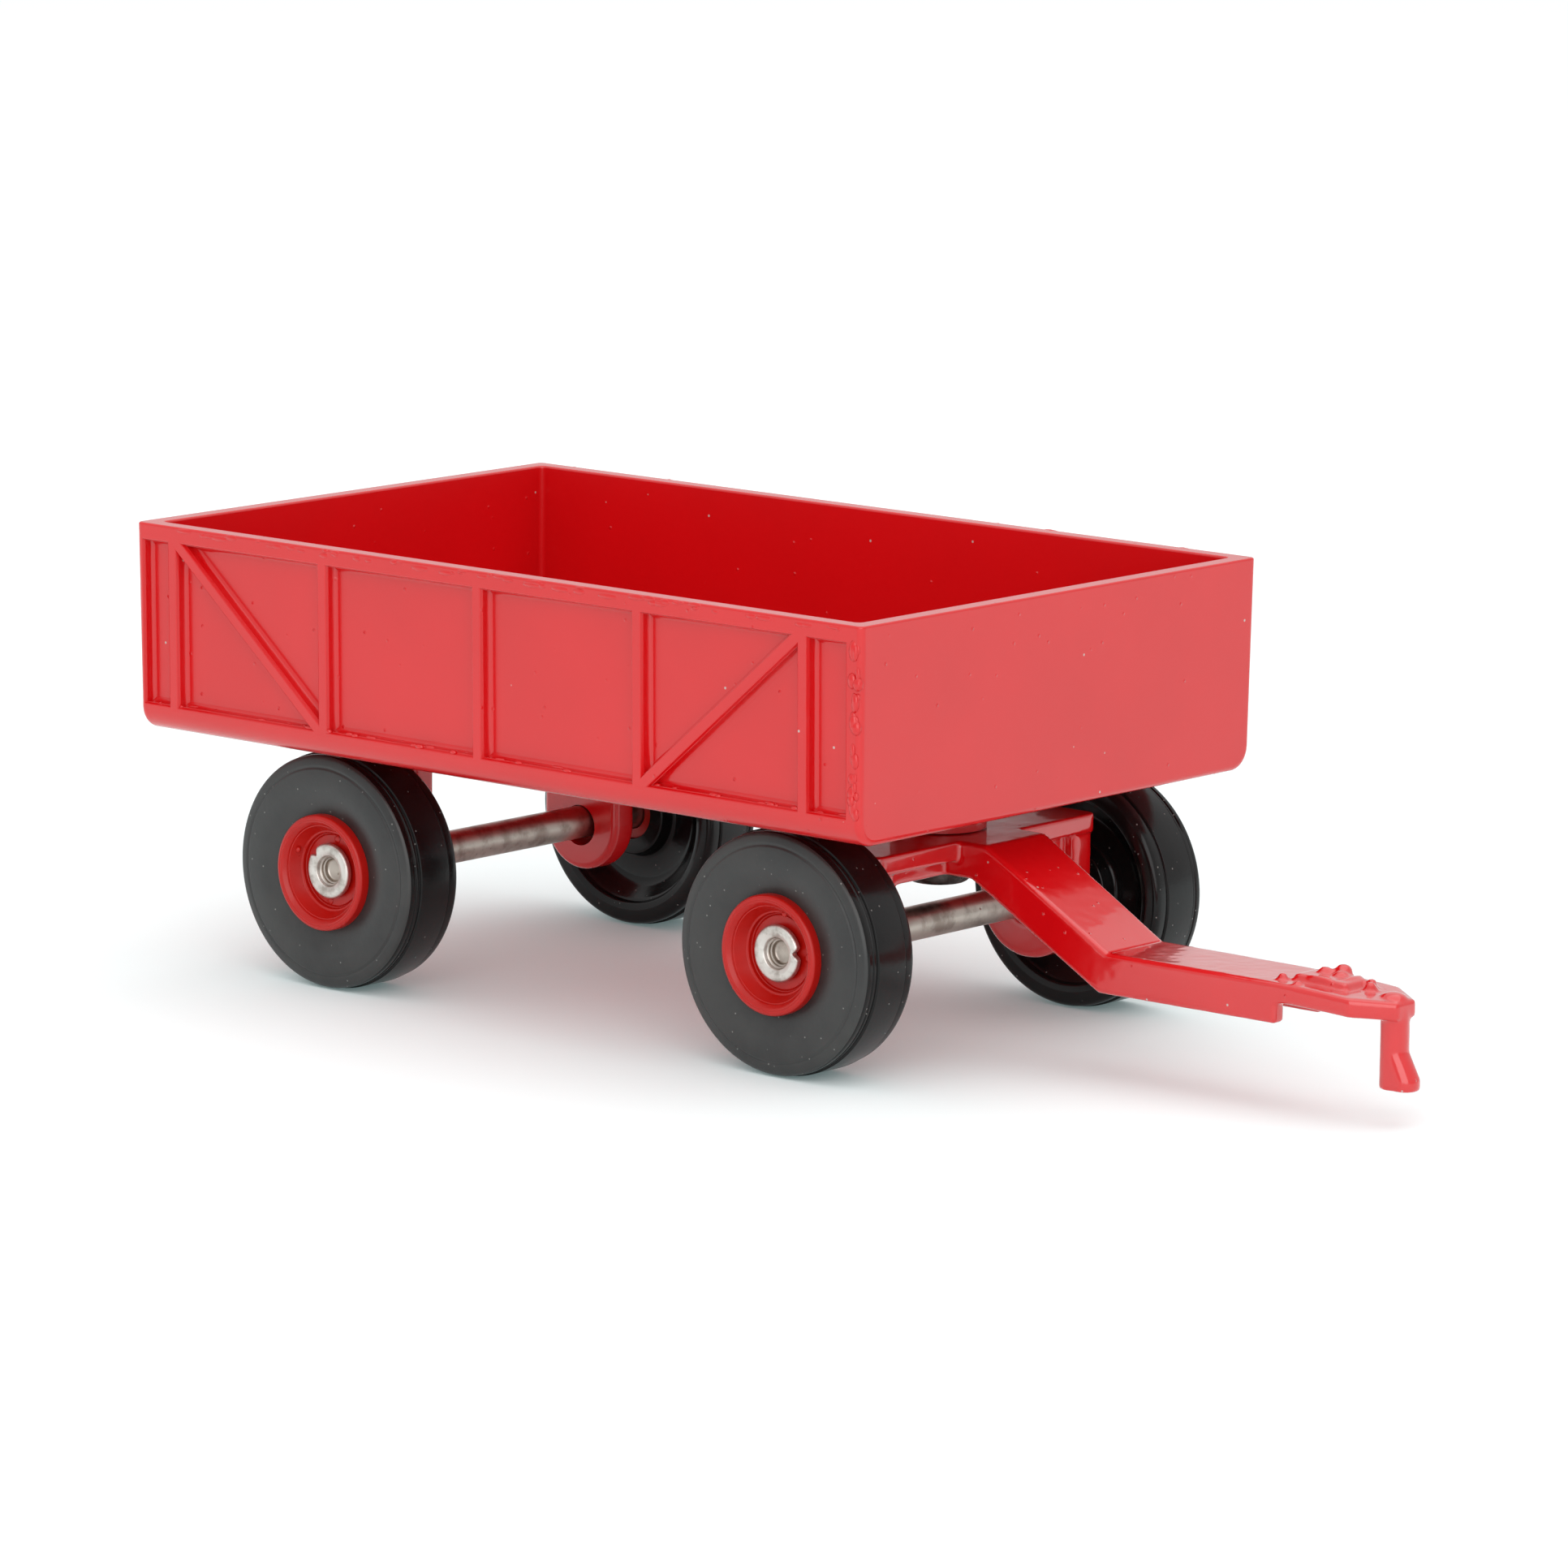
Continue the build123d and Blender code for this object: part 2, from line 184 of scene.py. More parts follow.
def makeEnamel(look):
    # Enamel dipped over a zinc casting: thick and wet-looking, wavy like orange peel,
    # with dust nibs and pin chips
    material, tree = emptyMaterial(look["name"])
    place = addNode(tree, "ShaderNodeTexCoord").outputs["Object"]
    nibReach = look["nibRadius"] / look["nibSpacing"]
    chipReach = look["chipRadius"] / look["chipSpacing"]
    peel = addNode(
        tree, "ShaderNodeTexNoise",
        values={"Scale": perMillimetre(look["peelSize"]), "Detail": 2.0, "Roughness": 0.45},
        links={"Vector": place},
    )
    cloud = addNode(
        tree, "ShaderNodeTexNoise",
        values={"Scale": perMillimetre(look["cloudSize"]), "Detail": 3.0}, links={"Vector": place},
    )
    nibs = addNode(
        tree, "ShaderNodeTexVoronoi",
        values={"Scale": perMillimetre(look["nibSpacing"])}, links={"Vector": place},
    )
    chips = addNode(
        tree, "ShaderNodeTexVoronoi",
        values={"Scale": perMillimetre(look["chipSpacing"])}, links={"Vector": place},
    )
    nib = addNode(
        tree, "ShaderNodeMapRange", {"interpolation_type": "SMOOTHSTEP"},
        {"From Min": nibReach, "From Max": 0.0}, {"Value": nibs.outputs["Distance"]},
    )
    chip = addNode(
        tree, "ShaderNodeMapRange", {},
        {"From Min": chipReach, "From Max": chipReach / 2}, {"Value": chips.outputs["Distance"]},
    )
    nibLift = addNode(
        tree, "ShaderNodeMath", {"operation": "MULTIPLY"},
        {1: look["nibHeight"] / look["peelHeight"]}, {0: nib.outputs["Result"]},
    )
    height = addNode(
        tree, "ShaderNodeMath", {"operation": "ADD"}, {}, {0: nibLift.outputs[0], 1: peel.outputs[0]},
    )
    bump = addNode(
        tree, "ShaderNodeBump", {}, {"Strength": 1.0, "Distance": look["peelHeight"] * mm},
        {"Height": height.outputs[0]},
    )
    spread = addNode(
        tree, "ShaderNodeMapRange", {"interpolation_type": "SMOOTHSTEP"},
        {"From Min": look["cloudRange"][0], "From Max": look["cloudRange"][1]}, {"Value": cloud.outputs[0]},
    )
    paint = addNode(
        tree, "ShaderNodeMix", {"data_type": "RGBA"},
        {6: hexColour(look["colour"]), 7: hexColour(look["deepColour"])}, {0: spread.outputs["Result"]},
    )
    chipped = addNode(
        tree, "ShaderNodeMix", {"data_type": "RGBA"},
        {7: hexColour(look["chipColour"])}, {0: chip.outputs["Result"], 6: paint.outputs[2]},
    )
    gloss = addNode(
        tree, "ShaderNodeMapRange", {},
        {"To Min": look["roughness"][0], "To Max": look["roughness"][1]}, {"Value": cloud.outputs[0]},
    )
    shader = addNode(
        tree, "ShaderNodeBsdfPrincipled", {},
        {
            "IOR": 1.5, "Specular IOR Level": look["specular"],
            "Coat Weight": look["coat"], "Coat Roughness": look["coatRoughness"], "Coat IOR": 1.5,
        },
        {
            "Base Color": chipped.outputs[2], "Roughness": gloss.outputs["Result"],
            "Normal": bump.outputs[0], "Coat Normal": bump.outputs[0],
        },
    )
    if "rubbedAbove" in look:  # the top that turns under the box is rubbed dull
        level = addNode(tree, "ShaderNodeSeparateXYZ", links={"Vector": place}).outputs["Z"]
        edge = look["rubbedAbove"] * mm
        fade = {"From Min": edge, "From Max": edge + look["rubbedFade"] * mm}
        rubbed = addNode(tree, "ShaderNodeMapRange", {}, fade, {"Value": level})
        dull = addNode(
            tree, "ShaderNodeMix", {"data_type": "FLOAT"},
            {3: look["rubbedRoughness"]}, {0: rubbed.outputs["Result"], 2: gloss.outputs["Result"]},
        )
        coat = addNode(
            tree, "ShaderNodeMapRange", {},
            dict(fade, **{"To Min": look["coat"], "To Max": 0.0}), {"Value": level},
        )
        shine = addNode(
            tree, "ShaderNodeMapRange", {},
            dict(fade, **{"To Min": look["specular"], "To Max": look["rubbedSpecular"]}), {"Value": level},
        )
        tree.links.new(dull.outputs[0], shader.inputs["Roughness"])
        tree.links.new(coat.outputs["Result"], shader.inputs["Coat Weight"])
        tree.links.new(shine.outputs["Result"], shader.inputs["Specular IOR Level"])
    addNode(tree, "ShaderNodeOutputMaterial", links={"Surface": shader.outputs[0]})
    return material


# Moulded plastic of the tyres, with sizes in mm

tyreSidewallLook = {
    "name": "mouldedPvcSidewall",
    "colour": "#252525",
    "paleColour": "#343433",
    "roughness": (0.34, 0.5),
    "specular": 0.5,
    "patchSize": 5.0,
    "patchRange": (0.35, 0.65),
    "grainSize": 0.35,
    "grainHeight": 0.012,
    "dustColour": "#8C8A86",
    "dustSpacing": 0.8,
    "dustRadius": 0.075,
    "dustCore": 0.3,
    "dustStrength": 0.75,
}
# The tread's black is darker than the sidewall's. Its polish is real, but the deeper black is painted shade
# for the tread and inboard face, which face darker surroundings
tyreTreadPaintedShadeLook = dict(
    tyreSidewallLook,
    name="mouldedPvcTreadPaintedShade",
    colour="#0D0C0C",
    paleColour="#151414",
    roughness=(0.14, 0.26),
    specular=0.25,
    grainHeight=0.005,
)


def makeTyrePlastic(look):
    # Black PVC from a mould: a spark-eroded matt sidewall with handling patches, a polished tread,
    # and dust specks
    material, tree = emptyMaterial(look["name"])
    place = addNode(tree, "ShaderNodeTexCoord").outputs["Object"]
    dustReach = look["dustRadius"] / look["dustSpacing"]
    patchRange = {"From Min": look["patchRange"][0], "From Max": look["patchRange"][1]}
    patch = addNode(
        tree, "ShaderNodeTexNoise",
        values={"Scale": perMillimetre(look["patchSize"]), "Detail": 4.0, "Roughness": 0.55},
        links={"Vector": place},
    )
    grain = addNode(
        tree, "ShaderNodeTexNoise",
        values={"Scale": perMillimetre(look["grainSize"]), "Detail": 3.0}, links={"Vector": place},
    )
    dust = addNode(
        tree, "ShaderNodeTexVoronoi",
        values={"Scale": perMillimetre(look["dustSpacing"])}, links={"Vector": place},
    )
    speck = addNode(
        tree, "ShaderNodeMapRange", {},
        {"From Min": dustReach, "From Max": look["dustCore"] * dustReach, "To Max": look["dustStrength"]},
        {"Value": dust.outputs["Distance"]},
    )
    spread = addNode(tree, "ShaderNodeMapRange", {}, patchRange, {"Value": patch.outputs[0]})
    black = addNode(
        tree, "ShaderNodeMix", {"data_type": "RGBA"},
        {6: hexColour(look["colour"]), 7: hexColour(look["paleColour"])}, {0: spread.outputs["Result"]},
    )
    dusted = addNode(
        tree, "ShaderNodeMix", {"data_type": "RGBA"},
        {7: hexColour(look["dustColour"])}, {0: speck.outputs["Result"], 6: black.outputs[2]},
    )
    gloss = addNode(
        tree, "ShaderNodeMapRange", {},
        dict(patchRange, **{"To Min": look["roughness"][0], "To Max": look["roughness"][1]}),
        {"Value": patch.outputs[0]},
    )
    bump = addNode(
        tree, "ShaderNodeBump", {}, {"Strength": 1.0, "Distance": look["grainHeight"] * mm},
        {"Height": grain.outputs[0]},
    )
    shader = addNode(
        tree, "ShaderNodeBsdfPrincipled", {}, {"IOR": 1.5, "Specular IOR Level": look["specular"]},
        {"Base Color": dusted.outputs[2], "Roughness": gloss.outputs["Result"], "Normal": bump.outputs[0]},
    )
    addNode(tree, "ShaderNodeOutputMaterial", links={"Surface": shader.outputs[0]})
    return material


# Moulded plastic of the hubs, with sizes in mm

hubLook = {
    "name": "mouldedRedPolystyrene",
    "colour": "#B8120A",
    "deepColour": "#A20B05",
    "roughness": (0.24, 0.38),
    "specular": 0.35,
    "soak": 0.08,
    "soakDepth": 0.6,
    "flowSize": 2.2,
    "flowHeight": 0.014,
    "grainSize": 0.3,
    "grainShare": 0.25,
}


def makeHubPlastic(look):
    # Red polystyrene from a mould: part gloss, with soft flow marks and a faint grain,
    # and light soaking in a little
    material, tree = emptyMaterial(look["name"])
    place = addNode(tree, "ShaderNodeTexCoord").outputs["Object"]
    flow = addNode(
        tree, "ShaderNodeTexNoise",
        values={"Scale": perMillimetre(look["flowSize"]), "Detail": 3.0, "Distortion": 0.8},
        links={"Vector": place},
    )
    grain = addNode(
        tree, "ShaderNodeTexNoise",
        values={"Scale": perMillimetre(look["grainSize"]), "Detail": 2.0}, links={"Vector": place},
    )
    colour = addNode(
        tree, "ShaderNodeMix", {"data_type": "RGBA"},
        {6: hexColour(look["colour"]), 7: hexColour(look["deepColour"])}, {0: flow.outputs[0]},
    )
    gloss = addNode(
        tree, "ShaderNodeMapRange", {},
        {"To Min": look["roughness"][0], "To Max": look["roughness"][1]}, {"Value": grain.outputs[0]},
    )
    faint = addNode(
        tree, "ShaderNodeMath", {"operation": "MULTIPLY"}, {1: look["grainShare"]}, {0: grain.outputs[0]},
    )
    height = addNode(
        tree, "ShaderNodeMath", {"operation": "ADD"}, {}, {0: flow.outputs[0], 1: faint.outputs[0]},
    )
    bump = addNode(
        tree, "ShaderNodeBump", {}, {"Strength": 1.0, "Distance": look["flowHeight"] * mm},
        {"Height": height.outputs[0]},
    )
    shader = addNode(
        tree, "ShaderNodeBsdfPrincipled", {},
        {
            "IOR": 1.52, "Specular IOR Level": look["specular"],
            "Subsurface Weight": look["soak"], "Subsurface Scale": look["soakDepth"] * mm,
        },
        {"Base Color": colour.outputs[2], "Roughness": gloss.outputs["Result"], "Normal": bump.outputs[0]},
    )
    addNode(tree, "ShaderNodeOutputMaterial", links={"Surface": shader.outputs[0]})
    return material


# Metals, with sizes in mm

axleSteelLook = {
    "name": "drawnSteelAxle",
    "colour": "#B9AFA6",
    "stainColour": "#94877E",
    "roughness": (0.28, 0.42),
    "stainSize": 1.6,
    "stainRange": (0.42, 0.68),
    "stainRelief": 0.4,
    "pitSpacing": 0.9,
    "pitRadius": 0.12,
    "pitDepth": 0.03,
}
rolledEndLook = dict(
    axleSteelLook,
    name="rolledZincPlatedEnd",
    colour="#DAD6D0",
    stainColour="#B0A9A1",
    roughness=(0.38, 0.55),
    stainSize=0.9,
    pitSpacing=0.7,
    pitRadius=0.05,
    pitDepth=0.02,
)
# The rivet steel is a dark grey where the axle steel is pale: painted shade for its place under the bolster
paintedShadeRivetLook = dict(
    axleSteelLook,
    name="rivetSteelPaintedShade",
    colour="#57504D",
    stainColour="#2E2623",
    roughness=(0.3, 0.45),
    stainSize=1.2,
)


def makeSteel(look):
    # Drawn and rolled steel: dull grey plating with brown stains and small pits,
    # brighter where the tool rolled it
    material, tree = emptyMaterial(look["name"])
    place = addNode(tree, "ShaderNodeTexCoord").outputs["Object"]
    stain = addNode(
        tree, "ShaderNodeTexNoise",
        values={"Scale": perMillimetre(look["stainSize"]), "Detail": 5.0, "Roughness": 0.6},
        links={"Vector": place},
    )
    pits = addNode(
        tree, "ShaderNodeTexVoronoi",
        values={"Scale": perMillimetre(look["pitSpacing"])}, links={"Vector": place},
    )
    pit = addNode(
        tree, "ShaderNodeMapRange", {"interpolation_type": "SMOOTHSTEP"},
        {"From Min": look["pitRadius"] / look["pitSpacing"], "From Max": 0.0},
        {"Value": pits.outputs["Distance"]},
    )
    spread = addNode(
        tree, "ShaderNodeMapRange", {"interpolation_type": "SMOOTHSTEP"},
        {"From Min": look["stainRange"][0], "From Max": look["stainRange"][1]}, {"Value": stain.outputs[0]},
    )
    dark = addNode(
        tree, "ShaderNodeMath", {"operation": "MAXIMUM"}, {},
        {0: spread.outputs["Result"], 1: pit.outputs["Result"]},
    )
    colour = addNode(
        tree, "ShaderNodeMix", {"data_type": "RGBA"},
        {6: hexColour(look["colour"]), 7: hexColour(look["stainColour"])}, {0: dark.outputs[0]},
    )
    gloss = addNode(
        tree, "ShaderNodeMapRange", {},
        {"To Min": look["roughness"][0], "To Max": look["roughness"][1]}, {"Value": stain.outputs[0]},
    )
    hollow = addNode(tree, "ShaderNodeMath", {"operation": "SUBTRACT"}, {0: 1.0}, {1: pit.outputs["Result"]})
    rough = addNode(
        tree, "ShaderNodeMath", {"operation": "MULTIPLY_ADD"},
        {1: look["stainRelief"]}, {0: stain.outputs[0], 2: hollow.outputs[0]},
    )
    bump = addNode(
        tree, "ShaderNodeBump", {}, {"Strength": 1.0, "Distance": look["pitDepth"] * mm},
        {"Height": rough.outputs[0]},
    )
    shader = addNode(
        tree, "ShaderNodeBsdfPrincipled", {}, {"Metallic": 1.0},
        {"Base Color": colour.outputs[2], "Roughness": gloss.outputs["Result"], "Normal": bump.outputs[0]},
    )
    addNode(tree, "ShaderNodeOutputMaterial", links={"Surface": shader.outputs[0]})
    return material


boxPaint = makeEnamel(boxEnamel)
drawbarPaint = makeEnamel(drawbarEnamel)
sidewallPlastic = makeTyrePlastic(tyreSidewallLook)
treadPlasticPaintedShade = makeTyrePlastic(tyreTreadPaintedShadeLook)
hubPlastic = makeHubPlastic(hubLook)
axleSteel = makeSteel(axleSteelLook)
rolledEndSteel = makeSteel(rolledEndLook)
paintedShadeRivetSteel = makeSteel(paintedShadeRivetLook)
print("materials made")


# Tyres, as (radius, place) in mm with the place measured outwards from the inboard face

tyreShape = {
    "steps": 144,
    "sharp": 50,
    "boreRadius": 1.95,
    "bossRadius": 3.05,
    "bossSetIn": 0.4,
    "dishRadius": 5.2,
    "dishDepth": 1.6,
    "lipRadius": 6.8,
    "treadStart": 1.1,
    "treadEnd": 3.75,
    "grooveDepth": 0.28,
    "grooveWidth": 0.17,
    "bandDrop": 0.12,
    "sidewallPeak": 5.7,
    "seatDrop": 0.42,
    "seatDepth": 0.45,
    "seatLap": 0.45,
    "cupDepth": 2.15,
    "mattDepth": 0.75,
    "mattInset": 0.2,
}


def makeTyre(name):
    low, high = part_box(name + "_tyre")
    side = 1 if "left" in name else -1
    hubLow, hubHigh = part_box(name + "_hub")
    crown = (high[0] - low[0]) / 2 / mm
    width = (high[1] - low[1]) / mm
    hubRadius = (hubHigh[0] - hubLow[0]) / 2 / mm
    centre = Vector(((low[0] + high[0]) / 2, low[1] if side > 0 else high[1], (low[2] + high[2]) / 2))
    t = tyreShape
    lip = t["lipRadius"]
    band = crown - t["bandDrop"]
    groove = crown - t["grooveDepth"]
    cut = t["grooveWidth"]
    first = t["treadStart"]
    last = t["treadEnd"]
    seat = hubRadius - t["seatLap"]
    corners = [
        (t["boreRadius"], t["bossSetIn"], 0),  # boss and dished inboard face
        (t["bossRadius"], t["bossSetIn"], 0.2),
        (t["bossRadius"] + 0.1, t["dishDepth"], 0.4),
        (t["dishRadius"], t["dishDepth"], 1.0),
        (lip - 0.55, 0.5, 0.5),  # stepped lip of the dish
        (lip - 0.4, 0.42, 0.06),
        (lip - 0.25, 0.12, 0.2),
        (lip + 0.2, 0, 0.2),
        (band, 0, 0.45),
        (band, first - cut, 0.03),  # tread between its grooves
        (groove, first - 0.5 * cut, 0.05),
        (crown, first, 0.05),
        (crown, last, 0.05),
        (groove, last + 0.5 * cut, 0.05),
        (band, last + cut, 0.03),
        (band, last + 2 * cut, 0.03),  # second fine groove outboard
        (groove, last + 2.5 * cut, 0.05),
        (band, last + 3 * cut, 0.04),
        (band, width - 0.3, 0.4),  # shoulder with its witness line
        (crown - 0.85, width - 0.14, 0.25),
        (crown - 0.95, width - 0.2, 0.08),
        (crown - 1.1, width - 0.1, 0.15),
        (t["sidewallPeak"], width, 2.4),
        (hubRadius + 0.75, width - 0.6 * t["seatDrop"], 0.4),  # fall to the hub and its seat
        (hubRadius + 0.1, width - t["seatDrop"], 0.08),
        (hubRadius, width - t["seatDepth"], 0),
        (seat, width - t["seatDepth"], 0),
        (seat, width - t["cupDepth"], 0),
        (t["boreRadius"], width - t["cupDepth"], 0),
    ]
    bm = turnedMesh(corners, centre, (0, side, 0), t["steps"])
    # the polished rest also takes the darker black, which is painted shade
    for face in bm.faces:  # the outer face is matt and the rest is polished
        middle = face.calc_center_median() - centre
        out = middle.y * side / mm
        radius = (middle.x ** 2 + middle.z ** 2) ** 0.5 / mm
        face.material_index = 0 if out > width - t["mattDepth"] and radius < crown - t["mattInset"] else 1
    tyre = name + "_tyre"
    plastics = [sidewallPlastic, treadPlasticPaintedShade]
    makePiece(name + "_tyre_moulding", bm, plastics, bodyOf[tyre], [tyre], t["sharp"])


for wheel in wheelNames:
    makeTyre(wheel)
print("tyres made")


# Hubs, as (radius, depth) in mm with the depth measured inwards from the rim's face

hubShape = {
    "steps": 120,
    "sharp": 40,
    "spigotDepth": 4.85,
    "spigotRadius": 1.95,
    "boreRadius": 1.25,
    "cupDepth": 2.5,
    "seatDepth": 0.8,
    "cupInset": 0.45,
    "rimWidth": 0.72,
    "recessDepth": 1.55,
    "pipRadius": 0.26,
    "pipHeight": 0.07,
    "pipSunk": 0.02,
    "pipOrbit": 2.2,
    "sprueTurn": 1.3,
    "sprueOrbit": 2.9,
    "sprueHeight": 0.75,
    "sprueSize": (0.22, 0.2, 0.22),
    "flashTurn": 3.9,
    "flashInset": 0.09,
    "flashDepth": 0.24,
    "flashSize": (0.14, 0.16, 0.12),
}


def makeHub(name):
    low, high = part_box(name + "_hub")
    side = 1 if "left" in name else -1
    rim = (high[0] - low[0]) / 2 / mm
    centre = Vector(((low[0] + high[0]) / 2, high[1] if side > 0 else low[1], (low[2] + high[2]) / 2))
    h = hubShape
    base = h["recessDepth"]
    inside = rim - h["rimWidth"]
    corners = [
        (h["boreRadius"], h["spigotDepth"], 0),  # spigot and cup that sit in the tyre
        (h["spigotRadius"], h["spigotDepth"], 0.1),
        (h["spigotRadius"], h["cupDepth"], 0),
        (rim - h["cupInset"], h["cupDepth"], 0),
        (rim - h["cupInset"], h["seatDepth"], 0),
        (rim, h["seatDepth"], 0),
        (rim, 0.08, 0.26),  # round rim with a witness line on its crown
        (rim - 0.3, 0, 0.14),
        (rim - 0.34, 0.035, 0),
        (rim - 0.4, 0.01, 0),
        (rim - 0.5, 0.06, 0.05),
        (inside, 0.3, 0.15),  # sloping wall of the recess
        (inside - 0.04, 0.42, 0),
        (inside - 0.1, 0.44, 0),
        (inside - 0.5, base - 0.3, 0.1),
        (inside - 0.62, base - 0.3, 0.05),  # step and the flat base
        (inside - 0.68, base - 0.05, 0.05),
        (inside - 0.74, base - 0.03, 0),
        (inside - 0.8, base - 0.1, 0),
        (inside - 0.86, base, 0),
        (h["boreRadius"], base, 0),
    ]
    bm = turnedMesh(corners, centre, (0, -side, 0), h["steps"])
    random.seed(name)
    first = random.uniform(0, 2 * pi)
    pip = Matrix.Diagonal((h["pipRadius"] * mm, h["pipHeight"] * mm, h["pipRadius"] * mm, 1))
    for turn in (first, first + pi):  # the ejector pin marks
        away = Vector((cos(turn) * h["pipOrbit"], -side * (base - h["pipSunk"]), sin(turn) * h["pipOrbit"]))
        shape = Matrix.Translation(centre + away * mm) @ pip
        bmesh.ops.create_uvsphere(bm, u_segments=16, v_segments=8, radius=1, matrix=shape)
    nubs = (  # the sprue's nub and a scrap of flash
        (first + h["sprueTurn"], h["sprueOrbit"], base - h["sprueHeight"], h["sprueSize"]),
        (first + h["flashTurn"], rim - h["flashInset"], h["flashDepth"], h["flashSize"]),
    )
    for turn, orbit, depth, size in nubs:
        addBlob(bm, centre + Vector((cos(turn) * orbit, -side * depth, sin(turn) * orbit)) * mm, size)
    hub = name + "_hub"
    makePiece(name + "_hub_moulding", bm, [hubPlastic], bodyOf[hub], [hub], h["sharp"])


for wheel in wheelNames:
    makeHub(wheel)
print("hubs made")


# Axles, as (radius, depth) in mm with the depth measured inwards from the end's face

axleShape = {
    "steps": 96,
    "sharp": 40,
    "rodRadius": 1.15,
    "rollThickness": 0.5,
    "setBack": 0.3,
    "holeRadius": 1.0,
    "holeDepth": 0.95,
    "holeCone": 0.12,
    "notchTurn": {"front_axle": 0.1, "rear_axle": 2.4},
    "notchHalfAngle": 0.2,
    "notchDepth": 0.5,
    "notchStart": 0.1,
}


def makeAxle(name):
    low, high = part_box(name)
    a = axleShape
    rod = a["rodRadius"]
    hole = a["holeRadius"]
    roll = (high[0] - low[0]) / 2 / mm
    length = (high[1] - low[1]) / mm
    centre = Vector(((low[0] + high[0]) / 2, (low[1] + high[1]) / 2, (low[2] + high[2]) / 2))
    half = [
        (rod, a["rollThickness"], 0.03),  # rolled lip
        (roll, a["rollThickness"], 0.16),
        (roll, 0.03, 0.22),
        (roll - 0.5, 0, 0.2),
        (hole + 0.08, 0.12, 0.12),  # drilled hole, with the tool's rings in its wall
        (hole, 0.36, 0.06),
        (hole - 0.1, 0.42, 0),
        (hole - 0.1, 0.6, 0),
        (hole - 0.2, 0.64, 0),
        (hole - 0.22, a["holeDepth"], 0.2),
        (0, a["holeDepth"] + a["holeCone"], 0),
    ]
    end = length / 2 - a["setBack"]
    left = [(radius, end - depth, roundness) for radius, depth, roundness in half]
    right = [(radius, depth - end, roundness) for radius, depth, roundness in reversed(half)]
    bm = turnedMesh(left + right, centre, (0, 1, 0), a["steps"])
    turn = a["notchTurn"][name]
    for vert in bm.verts:  # the split in the rolled lip on the right-hand end
        out = vert.co - centre
        radius = (out.x ** 2 + out.z ** 2) ** 0.5 / mm
        near = abs((atan2(out.z, out.x) - turn + pi) % (2 * pi) - pi) / a["notchHalfAngle"]
        if out.y < 0 and radius > rod + a["notchStart"] and near < 1:
            keep = 1 - a["notchDepth"] * (1 - near) * (radius - rod) / (roll - rod) / radius
            vert.co = centre + Vector((out.x * keep, out.y, out.z * keep))
    for face in bm.faces:  # the rolled lip is brighter than the rod and the hole
        spot = face.calc_center_median() - centre
        inHole = (spot.x ** 2 + spot.z ** 2) ** 0.5 / mm < hole - 0.02
        onLip = abs(spot.y) / mm > end - a["rollThickness"] - 0.01
        face.material_index = 1 if onLip and not inHole else 0
    steels = [axleSteel, rolledEndSteel]
    makePiece(name + "_rod", bm, steels, bodyOf[name], [name], a["sharp"])


for axleName in ("front_axle", "rear_axle"):
    makeAxle(axleName)
print("axles made")


# Drawbar casting in mm, softened as thick paint over a rough casting

drawbarShape = {
    "voxel": 0.15,
    "smoothPasses": 2,
    "waveSize": 2.6,
    "waveHeight": 0.016,
    "lumpSize": 0.7,
    "lumpHeight": 0.008,
    "plateAboveAxle": 2.25,
    "hitchLumpLift": 0.3,
    # x from the tip, y and z from the plate's top, then the three radii
    "hitchLumps": (
        (-9.6, -1.6, -0.2, 0.36, 0.34, 0.4),
        (-8.0, -2.1, -0.3, 0.28, 0.26, 0.3),
        (-7.7, 0.4, 0.15, 0.55, 0.46, 0.42),
        (-6.8, 1.1, 0.25, 0.62, 0.6, 0.55),
        (-7.0, -1.1, 0.0, 1.3, 0.24, 0.3),
        (-5.6, 0.4, 0.0, 0.3, 1.3, 0.32),
        (-4.4, 0.9, -0.05, 0.36, 0.32, 0.4),
        (-1.95, 0.0, -0.2, 0.85, 0.8, 0.3),
    ),
    "droopStart": 9.0,
    "droopCurve": 1.5,
    "droop": 0.5,
}


